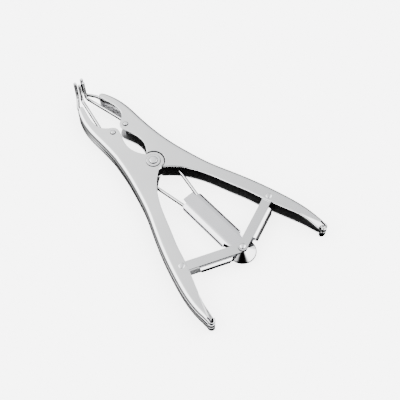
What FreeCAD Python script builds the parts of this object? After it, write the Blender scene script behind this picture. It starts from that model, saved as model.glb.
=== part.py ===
import FreeCAD, Part
import math
import os

os.makedirs("parts", exist_ok=True)

V = FreeCAD.Vector

# Overall sheet sizes, millimetres. X to the right handle, Y to the prongs, Z up, origin on the
# main pivot axis in the plane that the lower rivet heads rest on
CHANNEL_HEIGHT = 14.5
HANDLE_SHEET = 1.3
BEND_RADIUS = 3.2
LOWER_HEAD = 0.9
MID = CHANNEL_HEIGHT / 2 + LOWER_HEAD
HALF = CHANNEL_HEIGHT / 2
THROUGH = 1.3 * HALF

# Clearances
RUNNING = 0.05
FACE_GAP = 0.1
LINK_GAP = 0.15
JOGGLE_GAP = 0.5

# Main pivot
LOBE_RADIUS = 8.2
PIVOT_SHANK = 2.2
PIVOT_HEAD = 3.6
PIVOT_WASHER = 5.9
WASHER_SHEET = 0.7

# Guide rivets in the jaws and link rivets in the handles
GUIDE_AT = (6.5, 42.9)
GUIDE_SHANK = 1.2
GUIDE_HEAD = 2.4
LINK_AT = (44.6, -84.3)
LINK_SHANK = 1.2
LINK_HEAD = 2.3

# Toggle apex, links and draw sleeve
APEX_Y = -102.1
APEX_SHANK = 1.4
APEX_HEAD = 2.4
LINK_SHEET = 0.9
LINK_HALF_WIDTH = 3.6
LINK_WEB_FACE = 4.4
LINK_CUTBACK = 11.5
LINK_BEND = 2.6
OPEN_PIVOT_CLEARANCE = 1.65
SLEEVE_SHEET = 0.9
SLEEVE_HALF_HEIGHT = HALF - HANDLE_SHEET - LINK_GAP - 2 * (LINK_SHEET + FACE_GAP)
SLEEVE_HALF_WIDTH = 9.9
SLEEVE_FLAT = 4.5
SLEEVE_FRONT = -45.1
TONGUE_LENGTH = 4.1
TONGUE_HALF = 4.9
SLEEVE_SIDE_END = APEX_Y + 11.8
SLEEVE_EAR = 3.6
DISC_RADIUS = 10.8
DISC_HUB = 3.0
DISC_RIM_LEVEL = -1.8
DISC_SHEET = 0.7

# Wires and prongs
WIRE = 1.35
PRONG_HEIGHT = 20.0
PRONG_BEND = 3.0
INNER_PRONG = (2.0, 91.1)
OUTER_PRONG = (3.3, 95.1)
WIRE_HINGE = (6.2, -49.0)
HINGE_BEND = 1.9
DRAW_WIRE_RUN = [(9.6, 55.5), (16.2, 7.0)]
DRAW_WIRE_BENDS = [60.0, 14.0]
OUTER_PRONG_RUN = [(9.6, 86.3), (11.3, 79.6), (14.1, 73.2), (16.2, 66.3), (17.2, 60.5)]
OUTER_PRONG_BENDS = [8.0, 12.0, 20.0, 20.0]

# Plan of a handle, right hand side, from the nose to the tip along the back
BACK = [
    (10.8, 84.2), (13.2, 81.1), (15.0, 78.2), (16.9, 73.8), (18.9, 67.2), (20.4, 57.0), (20.6, 43.5),
    (20.9, 29.4), (22.0, 16.0), (24.3, 1.5), (28.2, -14.9), (32.9, -30.8), (38.7, -45.2),
    (44.5, -59.4), (50.3, -75.7), (55.1, -91.5), (58.3, -104.6), (60.0, -119.1), (59.9, -129.0),
]
TIP = [(59.9, -129.0), (58.6, -133.2), (56.3, -131.0)]
NOSE = [(8.5, 79.9), (10.6, 82.0), (13.1, 81.2)]
CAVITY_END_Y = -127.5
# Pinch of the tip: start and end of its crease, foot at the inner edge and how far that drops
PINCH = [(50.6, -109.5), (58.4, -129.5), (52.0, -131.0)]
PINCH_DROP = 4.4
# Inner edge from the tip to the lobe, then from the lobe to the nose
GRIP_EDGE = [
    (56.3, -131.0), (54.6, -124.0), (52.1, -115.0), (48.6, -105.4), (44.0, -93.6), (39.6, -81.2),
    (36.2, -70.2), (31.9, -59.0), (26.7, -45.3), (21.7, -33.5), (17.7, -26.3), (13.1, -19.5),
    (7.2, -13.3), (0.9, -8.15),
]
JAW_EDGE = [
    (-0.2, 8.198), (1.9, 10.6), (4.6, 15.4), (6.3, 22.0), (6.0, 27.5), (4.0, 34.4), (1.9, 40.2),
    (1.6, 43.6), (3.5, 46.7), (7.2, 49.3), (10.9, 53.6), (12.3, 59.5), (11.8, 66.0), (10.2, 73.0),
    (8.5, 79.9), (8.0, 84.0),
]


def spline(points, z=0.0):
    curve = Part.BSplineCurve()
    curve.interpolate([V(x, y, z) for x, y in points])
    return curve


def cylinder(radius, low, high, at=(0.0, 0.0)):
    return Part.makeCylinder(radius, high - low, V(at[0], at[1], MID + low))


def prism(edges, low, high):
    wire = Part.Wire(Part.__sortEdges__(edges))
    face = Part.Face(wire)
    face.translate(V(0, 0, MID + low))
    return face.extrude(V(0, 0, high - low))


def polygon(points, low, high):
    corners = [V(x, y, MID + low) for x, y in points]
    face = Part.Face(Part.makePolygon(corners + corners[:1]))
    return face.extrude(V(0, 0, high - low))


def mirrored(shape):
    return shape.mirror(V(0, 0, 0), V(1, 0, 0))


def parallel_points(points, distance, count):
    # Points of the curve moved sideways, to the inner side of a handle's back
    curve = spline(points)
    first, last = curve.FirstParameter, curve.LastParameter
    moved = []
    for i in range(count):
        at = first + (last - first) * i / (count - 1)
        p = curve.value(at)
        tangent = curve.tangent(at)[0]
        moved.append((p.x + distance * tangent.y, p.y - distance * tangent.x))
    return moved


def handle_block():
    # Full prism of the plan with the two back edges rounded as by bending
    lobe = Part.Arc(V(*GRIP_EDGE[-1], 0), V(-LOBE_RADIUS, 0, 0), V(*JAW_EDGE[0], 0))
    tip = Part.Arc(*[V(x, y, 0) for x, y in TIP])
    nose = Part.LineSegment(V(*JAW_EDGE[-1], 0), V(*BACK[0], 0))
    edges = [
        spline(BACK).toShape(), tip.toShape(), spline(GRIP_EDGE).toShape(),
        lobe.toShape(), spline(JAW_EDGE).toShape(), nose.toShape(),
    ]
    block = prism(edges, -HALF, HALF)
    back = []
    for edge in block.Edges:
        box = edge.BoundBox
        if box.YLength > 200 and box.XMax > 59 and box.ZLength < 0.01:
            back.append(edge)
    block = block.makeFillet(BEND_RADIUS, back)
    return pinched(block.cut(nose_trim()), 0.0)


def nose_trim():
    # What lies in front of the rounded nose
    left, middle, right = [V(x, y, 0) for x, y in NOSE]
    far = LOBE_RADIUS * 3
    corners = [right, V(right.x + far, right.y, 0), V(right.x + far, right.y + far, 0)]
    corners += [V(left.x - far, left.y + far, 0), V(left.x - far, left.y, 0), left]
    edges = [Part.Arc(left, middle, right).toShape()]
    edges += [Part.makeLine(a, b) for a, b in zip(corners[:-1], corners[1:])]
    return prism(edges, -THROUGH, THROUGH)


def pinched(shape, depth):
    # Takes off what lies outside the slanting facets of the pinched tip, sunk by the depth
    crease, end, foot = [V(x, y, MID + HALF) for x, y in PINCH]
    foot.z -= PINCH_DROP
    normal = (end - crease).cross(foot - crease).normalize()
    if normal.z < 0:
        normal = -normal
    sink = normal * -depth
    side = (foot - end).normalize()
    along = (end - crease).normalize()
    reach = 4 * PINCH_DROP
    corners = [crease + sink, crease + sink + side * reach]
    corners += [end + along * reach + side * reach + sink, end + along * reach + sink]
    face = Part.Face(Part.makePolygon(corners + corners[:1]))
    tool = face.extrude(normal * reach)
    low = tool.mirror(V(0, 0, MID), V(0, 0, 1))
    return shape.cut(tool).cut(low)


def handle_cavity():
    moved = parallel_points(BACK, HANDLE_SHEET, 24)
    inside = [p for p in moved if p[1] > CAVITY_END_Y]
    far = LOBE_RADIUS * 3
    start, end = inside[0], inside[-1]
    corners = [V(x, y, 0) for x, y in [end, (-far, end[1]), (-far, start[1]), start]]
    edges = [spline(inside).toShape()]
    edges += [Part.makeLine(a, b) for a, b in zip(corners[:-1], corners[1:])]
    inner = HALF - HANDLE_SHEET
    cavity = prism(edges, -inner, inner)
    back = []
    for edge in cavity.Edges:
        box = edge.BoundBox
        if box.YLength > 195 and box.XMax > 57 and box.ZLength < 0.01:
            back.append(edge)
    cavity = cavity.makeFillet(BEND_RADIUS - HANDLE_SHEET, back)
    wall = nose_trim()
    wall.translate(V(0, -HANDLE_SHEET, 0))
    return pinched(cavity.cut(wall), HANDLE_SHEET)


def drilled(shape, holes):
    for radius, at in holes:
        shape = shape.cut(cylinder(radius, -THROUGH, THROUGH, at))
    return shape


def channel_handle():
    block = handle_block()
    shell = block.cut(handle_cavity())
    holes = [
        (GUIDE_SHANK + RUNNING, GUIDE_AT),
        (LINK_SHANK + RUNNING, LINK_AT),
        (PIVOT_SHANK + RUNNING, (0.0, 0.0)),
    ]
    shell = shell.cut(outer_prong(WIRE + RUNNING))
    return block, drilled(shell, holes)


def joggled_handle():
    # The right handle steps under the left handle's lobes above and below
    block, shell = channel_handle()
    inner_radius = LOBE_RADIUS + JOGGLE_GAP
    outer_radius = inner_radius + HANDLE_SHEET
    face = HALF - HANDLE_SHEET - FACE_GAP
    for sign in (1, -1):
        levels = sorted((sign * face, sign * (HALF + 1)))
        shell = shell.cut(cylinder(inner_radius, *levels))
    for sign in (1, -1):
        levels = sorted((sign * (face - HANDLE_SHEET), sign * face))
        step = cylinder(outer_radius, *levels)
        rise = sorted((sign * (face - HANDLE_SHEET), sign * HALF))
        ring = cylinder(outer_radius, *rise).cut(cylinder(inner_radius, *rise))
        joggle = step.fuse(ring).common(block)
        shell = shell.fuse(joggle)
    shell = shell.cut(cylinder(PIVOT_SHANK + RUNNING, -HALF, HALF))
    return shell.removeSplitter()


def dome(radius, height, base, at):
    # Low round rivet head standing on the level base
    rim = 0.25 * height
    rise = height - rim
    ball = (radius * radius + rise * rise) / (2 * rise)
    head = cylinder(radius, 0, height, at)
    centre = V(at[0], at[1], MID + height - ball)
    head = head.common(Part.makeSphere(ball, centre))
    head.translate(V(0, 0, base))
    return head


def flat_head(radius, height, base, at):
    # Set head below the level base, flat where the pliers rest
    head = cylinder(radius, base - height, base, at)
    rim = [e for e in head.Edges if e.BoundBox.ZMax < MID + base - height + 0.01 and e.BoundBox.XLength > 1]
    return head.makeFillet(0.6 * height, rim)


def rivet(at, shank, head, top_level, low_level, top_height, low_height):
    body = cylinder(shank, low_level - 0.2, top_level + 0.2, at)
    body = body.fuse(dome(head, top_height, top_level, at))
    body = body.fuse(flat_head(head, low_height, low_level, at))
    return body.removeSplitter()


def bent_wire(points, bends, radius):
    # Round wire along straight runs with a bend of the given centre radius at each corner
    edges = []
    here = points[0]
    for i in range(1, len(points) - 1):
        corner = points[i]
        into = (corner - points[i - 1]).normalize()
        out = (points[i + 1] - corner).normalize()
        turn = into.getAngle(out)
        reach = bends[i - 1] * math.tan(turn / 2)
        a = corner - into * reach
        b = corner + out * reach
        middle = (out - into).normalize()
        centre_gap = bends[i - 1] / math.cos(turn / 2)
        through = corner + middle * (centre_gap - bends[i - 1])
        edges.append(Part.makeLine(here, a))
        edges.append(Part.Arc(a, through, b).toShape())
        here = b
    edges.append(Part.makeLine(here, points[-1]))
    path = Part.Wire(edges)
    start = (points[1] - points[0]).normalize()
    circle = Part.Wire(Part.makeCircle(radius, points[0], start))
    return path.makePipeShell([circle], True, False)


def rounded_end(shape, at, radius):
    # Rounds the free end of a wire
    ball = Part.makeSphere(radius, at)
    return shape.fuse(ball).removeSplitter()


def draw_wire():
    x, y = INNER_PRONG
    points = [V(x, y, MID + PRONG_HEIGHT - WIRE), V(x, y, MID)]
    points += [V(a, b, MID) for a, b in DRAW_WIRE_RUN + [WIRE_HINGE]]
    points.append(V(WIRE_HINGE[0], WIRE_HINGE[1], MID - SLEEVE_HALF_HEIGHT - FACE_GAP))
    wire = bent_wire(points, [PRONG_BEND] + DRAW_WIRE_BENDS + [HINGE_BEND], WIRE)
    return rounded_end(wire, points[0], WIRE)


def outer_prong(radius=WIRE):
    x, y = OUTER_PRONG
    points = [V(x, y, MID + PRONG_HEIGHT - WIRE), V(x, y, MID)]
    points += [V(a, b, MID) for a, b in OUTER_PRONG_RUN]
    wire = bent_wire(points, [PRONG_BEND] + OUTER_PRONG_BENDS, radius)
    return rounded_end(wire, points[0], radius)


def link(flip):
    # Built along X from the pin in the handle to the pin at the apex, web on the -Y side
    length = math.hypot(LINK_AT[0], LINK_AT[1] - APEX_Y)
    w, f, c = LINK_HALF_WIDTH, LINK_WEB_FACE, LINK_CUTBACK
    top = SLEEVE_HALF_HEIGHT + FACE_GAP
    low = top + LINK_SHEET + FACE_GAP
    levels = (-low - LINK_SHEET, top + LINK_SHEET)
    inner = (-low, top)
    if flip:
        levels = (-levels[1], -levels[0])
        inner = (-inner[1], -inner[0])
    corners = [
        V(0, w, 0), V(length, w, 0), V(length, -w, 0), V(length - c + 4, -w, 0),
        V(length - c + 0.5, -f, 0), V(c - 0.5, -f, 0), V(c - 4, -w, 0), V(0, -w, 0),
    ]
    edges = [Part.makeLine(corners[0], corners[1])]
    edges.append(Part.Arc(corners[1], V(length + w, 0, 0), corners[2]).toShape())
    edges += [Part.makeLine(a, b) for a, b in zip(corners[2:-1], corners[3:])]
    edges.append(Part.Arc(corners[-1], V(-w, 0, 0), corners[0]).toShape())
    block = prism(edges, *levels)
    fold = []
    for edge in block.Edges:
        box = edge.BoundBox
        if abs(box.YMin + f) < 0.01 and box.YLength < 0.01 and box.XLength > 5:
            fold.append(edge)
    block = block.makeFillet(LINK_BEND, fold)
    hollow = polygon([(-9, -f + LINK_SHEET), (length + 9, -f + LINK_SHEET), (length + 9, 9), (-9, 9)], *inner)
    folds = []
    for edge in hollow.Edges:
        box = edge.BoundBox
        if abs(box.YMin + f - LINK_SHEET) < 0.01 and box.YLength < 0.01 and box.XLength > 5:
            folds.append(edge)
    hollow = hollow.makeFillet(LINK_BEND - LINK_SHEET, folds)
    block = block.cut(hollow)
    slope = 1.4
    for side in (0, 1):
        a = [V(-9, -9, MID + inner[0]), V(c + slope, -9, MID + inner[0])]
        a += [V(c, -9, MID + inner[1]), V(-9, -9, MID + inner[1])]
        notch = Part.Face(Part.makePolygon(a + a[:1])).extrude(V(0, 18, 0))
        if side:
            notch = notch.mirror(V(length / 2, 0, 0), V(1, 0, 0))
        block = block.cut(notch)
    return block, length


def placed_link(side):
    shape, length = link(flip=side > 0)
    apex = APEX_SHANK + RUNNING
    grip = LINK_SHANK + (OPEN_PIVOT_CLEARANCE if side > 0 else RUNNING)
    shape = shape.cut(cylinder(grip, -THROUGH, THROUGH, (0, 0)))
    shape = shape.cut(cylinder(apex, -THROUGH, THROUGH, (length, 0)))
    angle = math.degrees(math.atan2(APEX_Y - LINK_AT[1], LINK_AT[0]))
    shape.rotate(V(0, 0, 0), V(0, 0, 1), angle)
    shape.translate(V(-LINK_AT[0], LINK_AT[1], 0))
    if side > 0:
        shape = mirrored(shape)
    return shape


def sleeve_section(half_width, half_height, y):
    # Flat above and below, quarter ellipses down both sides
    flat = SLEEVE_FLAT
    reach = half_width - flat
    edges = []
    for sx in (1, -1):
        major, minor = (reach, half_height)
        for sz in (1, -1):
            points = []
            for i in range(9):
                t = math.pi / 2 * i / 8
                px = sx * (flat + major * math.sin(t))
                points.append(V(px, y, MID + sz * minor * math.cos(t)))
            curve = Part.BSplineCurve()
            ends = [V(sx, 0, 0), V(0, 0, -sz)]
            curve.interpolate(Points=points, InitialTangent=ends[0], FinalTangent=ends[1])
            edges.append(curve.toShape())
    for sz in (1, -1):
        z = MID + sz * half_height
        edges.append(Part.makeLine(V(-flat, y, z), V(flat, y, z)))
    return Part.Face(Part.Wire(Part.__sortEdges__(edges)))


def draw_sleeve():
    rear = APEX_Y - SLEEVE_EAR
    front = SLEEVE_FRONT + TONGUE_LENGTH
    run = V(0, front - rear, 0)
    tube = sleeve_section(SLEEVE_HALF_WIDTH, SLEEVE_HALF_HEIGHT, rear).extrude(run)
    start = V(0, -1, 0)
    bore = sleeve_section(SLEEVE_HALF_WIDTH - SLEEVE_SHEET, SLEEVE_HALF_HEIGHT - SLEEVE_SHEET, rear)
    bore.translate(start)
    tube = tube.cut(bore.extrude(run + V(0, 2, 0)))
    # Plan of the folded sheet: tongue, shoulders, side ends and the tapered ears
    w = SLEEVE_HALF_WIDTH
    n = TONGUE_HALF
    s = SLEEVE_SIDE_END
    ear = SLEEVE_EAR
    taper = 7.6
    plan = polygon([(-w, SLEEVE_FRONT), (-w, s), (w, s), (w, SLEEVE_FRONT)], -THROUGH, THROUGH)
    shoulders = [e for e in plan.Edges if e.BoundBox.ZLength > HALF and e.BoundBox.YMin > s + 1]
    plan = plan.makeFillet(2.2, shoulders)
    tongue = polygon([(-n, SLEEVE_FRONT - 1), (n, SLEEVE_FRONT - 1), (n, front), (-n, front)], 0, THROUGH)
    lips = [e for e in tongue.Edges if e.BoundBox.ZLength > HALF and e.BoundBox.YMin > front - 0.1]
    tongue = tongue.makeFillet(0.8, lips)
    ears = polygon([(-taper, s + 1), (-ear, APEX_Y), (ear, APEX_Y), (taper, s + 1)], -THROUGH, THROUGH)
    ears = ears.fuse(cylinder(ear, -THROUGH, THROUGH, (0, APEX_Y)))
    tube = tube.common(plan.fuse(tongue).fuse(ears))
    holes = [(APEX_SHANK + RUNNING, (0, APEX_Y))]
    tube = drilled(tube, holes)
    for side in (1, -1):
        at = (side * WIRE_HINGE[0], WIRE_HINGE[1])
        tube = tube.cut(cylinder(WIRE + RUNNING, -THROUGH, 0, at))
    return tube.removeSplitter()


def apex_disc():
    # Shallow cone round a hub, turned about the apex pin
    h = SLEEVE_HALF_HEIGHT - SLEEVE_SHEET - RUNNING
    bore = APEX_SHANK + RUNNING
    hub, rim, level = DISC_HUB, DISC_RADIUS, DISC_RIM_LEVEL
    top = h - RUNNING
    profile = [
        (bore, -h), (hub, -h), (hub, top - 2 * DISC_SHEET), (rim - 0.3, level - DISC_SHEET / 2),
        (rim, level), (rim - 0.2, level + DISC_SHEET / 2), (hub, top), (hub - 0.2, h), (bore, h),
    ]
    points = [V(r, 0, MID + z) for r, z in profile]
    face = Part.Face(Part.makePolygon(points + points[:1]))
    disc = face.revolve(V(0, 0, 0), V(0, 0, 1), 360)
    disc.translate(V(0, APEX_Y, 0))
    return disc


def apex_rivet():
    level = SLEEVE_HALF_HEIGHT + 3 * FACE_GAP + 2 * LINK_SHEET
    return rivet((0, APEX_Y), APEX_SHANK, APEX_HEAD, level, -level, 0.9, 0.9)


def main_rivet():
    top = HALF + WASHER_SHEET
    return rivet((0, 0), PIVOT_SHANK, PIVOT_HEAD, top, -HALF, 0.9, LOWER_HEAD)


def pivot_washer():
    washer = cylinder(PIVOT_WASHER, HALF, HALF + WASHER_SHEET)
    rim = [e for e in washer.Edges if e.BoundBox.ZMin > MID + HALF + 0.5 and e.BoundBox.XLength > 1]
    washer = washer.makeFillet(0.35, rim)
    return washer.cut(cylinder(PIVOT_SHANK + RUNNING, HALF - 1, HALF + 2))


def build():
    nodes = {}
    nodes["left_handle"] = mirrored(channel_handle()[1])
    nodes["right_handle"] = joggled_handle()
    nodes["main_pivot_rivet"] = main_rivet()
    nodes["pivot_washer"] = pivot_washer()
    for name, side in (("left", -1), ("right", 1)):
        guide = (side * GUIDE_AT[0], GUIDE_AT[1])
        grip = (side * LINK_AT[0], LINK_AT[1])
        nodes[name + "_guide_rivet"] = rivet(guide, GUIDE_SHANK, GUIDE_HEAD, HALF, -HALF, 1.0, LOWER_HEAD)
        nodes[name + "_link_rivet"] = rivet(grip, LINK_SHANK, LINK_HEAD, HALF, -HALF, 0.5, LOWER_HEAD)
        nodes[name + "_link"] = placed_link(side)
        wire = draw_wire()
        prong = outer_prong()
        nodes[name + "_draw_wire"] = mirrored(wire) if side < 0 else wire
        nodes[name + "_outer_prong"] = mirrored(prong) if side < 0 else prong
    nodes["draw_sleeve"] = draw_sleeve()
    nodes["apex_disc"] = apex_disc()
    nodes["apex_rivet"] = apex_rivet()
    return nodes


for name, shape in build().items():
    solid = shape.Solids[0] if len(shape.Solids) == 1 else shape
    print(name, shape.ShapeType, len(shape.Solids), "valid", shape.isValid(), round(shape.Volume, 1))
    solid.exportStep("parts/" + name + ".step")
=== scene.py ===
import logging
import math
from dataclasses import dataclass
from enum import Enum
from typing import Optional, Union

import bmesh
import bpy
import numpy as np
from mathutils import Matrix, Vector


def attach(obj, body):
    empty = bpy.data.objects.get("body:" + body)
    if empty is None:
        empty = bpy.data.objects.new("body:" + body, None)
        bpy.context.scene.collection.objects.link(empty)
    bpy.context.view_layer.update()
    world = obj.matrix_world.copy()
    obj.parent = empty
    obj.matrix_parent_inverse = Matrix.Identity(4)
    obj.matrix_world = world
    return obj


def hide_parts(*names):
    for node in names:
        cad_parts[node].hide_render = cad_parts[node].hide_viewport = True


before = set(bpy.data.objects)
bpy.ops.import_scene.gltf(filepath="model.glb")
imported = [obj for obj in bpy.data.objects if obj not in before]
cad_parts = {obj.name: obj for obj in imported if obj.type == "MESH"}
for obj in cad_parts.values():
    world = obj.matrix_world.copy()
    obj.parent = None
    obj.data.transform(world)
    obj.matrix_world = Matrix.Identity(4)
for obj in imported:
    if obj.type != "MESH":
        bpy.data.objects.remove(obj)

LOG = logging.getLogger("pliers")
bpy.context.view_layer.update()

Triple = tuple[float, float, float]
Point = tuple[float, float]
Stops = tuple[tuple[float, ...], ...]
Socket = bpy.types.NodeSocket

MM = 0.001
# Sizes of the real object, in millimetres from the middle of the main pivot
SHEET = 1.3
HEIGHT = 14.5
FOOT = 0.9
MID = FOOT + HEIGHT / 2
WIRE_RADIUS = 1.35
PIVOT = (0.0, 0.0)
GUIDE_PIN = (6.5, 42.9)
LINK_PIN = (44.6, -84.3)
APEX_PIN = (0.0, -102.1)
DISC_RADIUS = 10.8
# Scale factors that lay coordinates down in the plan
FLAT = (1.0, 1.0, 0.0)


class Side(Enum):
    """Side of the pliers, with the sign of its X coordinates."""

    LEFT = -1
    RIGHT = 1

    @property
    def word(self) -> str:
        """Name of the side as the nodes use it."""
        return self.name.lower()

    def mirrored(self, point: Point) -> Point:
        """Brings a point of the right side to this side."""
        return self.value * point[0], point[1]


@dataclass(frozen=True)
class NodeBench:
    """Adds and joins the nodes of one material or of the surround.

    Attributes:
        tree: Node tree that is worked on.
    """

    tree: bpy.types.NodeTree

    def feed(self, node: bpy.types.Node, inputs: dict[Union[str, int], object]) -> None:
        """Sets inputs of a node to values, or links them to other sockets.

        Args:
            node: Node that has the inputs.
            inputs: Value or socket for each input, by its name or number.
        """
        for name, source in inputs.items():
            if isinstance(source, Socket):
                self.tree.links.new(source, node.inputs[name])
            else:
                node.inputs[name].default_value = source

    def add(self, kind: str, inputs: Optional[dict[Union[str, int], object]] = None,
            **settings: str) -> bpy.types.Node:
        """Adds a node.

        Args:
            kind: Type of the node, after the word ShaderNode.
            inputs: Value or socket for each input that isn't left at its default.
            settings: Properties of the node.

        Returns:
            The new node.
        """
        node = self.tree.nodes.new("ShaderNode" + kind)
        for name, value in settings.items():
            setattr(node, name, value)
        self.feed(node, inputs or {})
        return node

    def noise(self, where: Socket, scale: float, detail: float) -> Socket:
        """Gives a noise with so many grains a metre."""
        return self.add("TexNoise", {"Vector": where, "Scale": scale, "Detail": detail}).outputs["Fac"]

    def scaled(self, where: Socket, factors: Triple, shift: Triple = (0.0, 0.0, 0.0)) -> Socket:
        """Scales coordinates and then shifts them."""
        return self.add("Mapping", {"Vector": where, "Scale": factors, "Location": shift}).outputs["Vector"]

    def axis(self, where: Socket, name: str) -> Socket:
        """Gives one of the coordinates."""
        return self.add("SeparateXYZ", {"Vector": where}).outputs[name]

    def measured(self, how: str, *vectors: object) -> Socket:
        """Gives the length of a vector or the dot product of two."""
        return self.add("VectorMath", dict(enumerate(vectors)), operation=how).outputs["Value"]

    def worked_out(self, how: str, *values: object) -> Socket:
        """Joins numbers by a mathematical operation."""
        return self.add("Math", dict(enumerate(values)), operation=how).outputs["Value"]

    def span(self, value: Socket, low: float, high: float, goes_to: Point = (0.0, 1.0)) -> Socket:
        """Brings a value between low and high into another range."""
        ends = {"From Min": low, "From Max": high, "To Min": goes_to[0], "To Max": goes_to[1]}
        return self.add("MapRange", {"Value": value, **ends}).outputs["Result"]

    def mixed(self, how: str, share: object, first: Socket, second: Socket) -> Socket:
        """Mixes two colours, with a number or a socket as the share of the second."""
        inputs = {"Factor": share, "A": first, "B": second}
        return self.add("Mix", inputs, data_type="RGBA", blend_type=how).outputs["Result"]

    def product(self, first: Socket, second: Socket) -> Socket:
        """Multiplies two colours."""
        return self.mixed("MULTIPLY", 1.0, first, second)

    def bump(self, height: Socket, depth: float, under: Optional[Socket] = None) -> Socket:
        """Gives the normal of a bump, which may lie over another one."""
        inputs = {"Height": height, "Strength": 1.0, "Distance": depth}
        return self.add("Bump", inputs if under is None else {**inputs, "Normal": under}).outputs["Normal"]

    def ramp(self, value: Socket, stops: tuple[tuple[float, Triple], ...]) -> Socket:
        """Adds a colour ramp.

        Args:
            value: Place on the ramp.
            stops: Position and colour of every stop, in order.

        Returns:
            The colour.
        """
        node = self.add("ValToRGB", {"Fac": value})
        elements = node.color_ramp.elements
        elements[0].position, elements[-1].position = stops[0][0], stops[-1][0]
        for at, _ in stops[1:-1]:
            elements.new(at)
        for element, (_, colour) in zip(elements, stops):
            element.color = (*colour, 1.0)
        return node.outputs["Color"]

    def greys(self, value: Socket, stops: Stops, low: float = 0.0, high: float = 1.0) -> Socket:
        """Adds a ramp of greys over a range of a value.

        Args:
            value: Value that the greys follow.
            stops: Position, brightness and, where it is cool, blueness of every stop.
            low: Value at the start of the ramp.
            high: Value at its end.

        Returns:
            The colour.
        """
        colours = []
        for at, light, *cool in stops:
            blue = sum(cool)
            colours.append((at, (light * (1 - blue), light * (1 - 0.5 * blue), light)))
        if (low, high) != (0.0, 1.0):
            value = self.span(value, low, high)
        return self.ramp(value, tuple(colours))

    def streaks(self, where: Socket, squeeze: float, stops: Stops) -> Socket:
        """Gives upright streaks, which are longer the smaller the squeeze is."""
        return self.greys(self.noise(self.scaled(where, (1.0, 1.0, squeeze)), 1100.0, 2.0), stops)


@dataclass(frozen=True)
class SteelFinish:
    """Polished steel with fine marks, soft clouds of tone and a slight waviness.

    Attributes:
        name: Name of the material.
        tone: Base colour, linear.
        roughness: Middle roughness.
        spread: How far the roughness wanders.
        mark_scale: Marks a metre.
        mark_depth: Bump distance of the marks, in metres.
        wave_depth: Bump distance of the waviness, in metres.
        wave_scale: Waves a metre.
        cloud_scale: Clouds a metre.
        clouded: Brightness of the clouds as a share of the tone.
    """

    name: str
    tone: Triple
    roughness: float
    spread: float = 0.03
    mark_scale: float = 900.0
    mark_depth: float = 2e-6
    wave_depth: float = 5e-6
    wave_scale: float = 110.0
    cloud_scale: float = 45.0
    clouded: float = 0.93

    def material(self) -> bpy.types.Material:
        """Builds the node material, or finds the one already built.

        Returns:
            The material of this finish.
        """
        known = bpy.data.materials.get(self.name)
        if known is not None:
            return known
        made = bpy.data.materials.new(self.name)
        made.use_nodes = True
        made.node_tree.nodes.clear()
        bench = NodeBench(made.node_tree)
        where = bench.add("TexCoord").outputs["Object"]
        clouds = bench.noise(where, self.cloud_scale, 3.0)
        marks = bench.noise(where, self.mark_scale, 4.0)
        waves = bench.noise(where, self.wave_scale, 1.0)
        cloudy = tuple(self.clouded * part for part in self.tone)
        tinted = self.tinted(bench, where, bench.ramp(clouds, ((0.3, cloudy), (0.75, self.tone))))
        limits = (self.roughness - self.spread, self.roughness + self.spread)
        shader = bench.add("BsdfPrincipled", {
            "Metallic": 1.0, "Base Color": tinted, "Specular Tint": tinted,
            "Roughness": bench.span(marks, 0.3, 0.7, limits),
            "Normal": bench.bump(waves, self.wave_depth, bench.bump(marks, self.mark_depth)),
        })
        bench.add("OutputMaterial", {"Surface": shader.outputs["BSDF"]})
        return made

    def tinted(self, bench: NodeBench, where: Socket, colour: Socket) -> Socket:
        """Changes the colour over the piece, here not at all."""
        return colour

    def dress(self, piece: bpy.types.Object) -> None:
        """Puts this finish on every material slot of a piece.

        Args:
            piece: The piece to dress.
        """
        made = self.material()
        if not piece.material_slots:
            piece.data.materials.append(made)
        for slot in piece.material_slots:
            slot.material = made


@dataclass(frozen=True)
class LinedFinish(SteelFinish):
    """Steel of an upright wall, with dark lines of painted reflection and shade along it.

    The lines stand for what the polished wall mirrors in the photograph. They are colour and no
    marks on the steel, so they show from every side and under any light.

    Attributes:
        lines: Position over the height of the handles, and brightness, of every stop.
        wander: How far the lines wander, in metres.
        fading: Y between which the lines grow weaker, in metres.
        kept: Strength that they keep at the front.
    """

    lines: Stops = ((0.0, 1.0), (1.0, 1.0))
    wander: float = 0.0008
    fading: Point = (0.02, 0.05)
    kept: float = 0.6

    def tinted(self, bench: NodeBench, where: Socket, colour: Socket) -> Socket:
        """Darkens the colour along the lines.

        Args:
            bench: Bench of the material.
            where: Coordinates.
            colour: Colour without the lines.

        Returns:
            The colour with them.
        """
        drift = bench.noise(where, 35.0, 2.0)
        level = bench.worked_out("MULTIPLY_ADD", drift, self.wander, bench.axis(where, "Z"))
        lines = bench.greys(level, self.lines, FOOT * MM, (FOOT + HEIGHT) * MM)
        share = bench.greys(bench.axis(where, "Y"), ((0.0, 1.0), (1.0, self.kept)), *self.fading)
        return bench.mixed("MULTIPLY", share, colour, lines)


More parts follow.
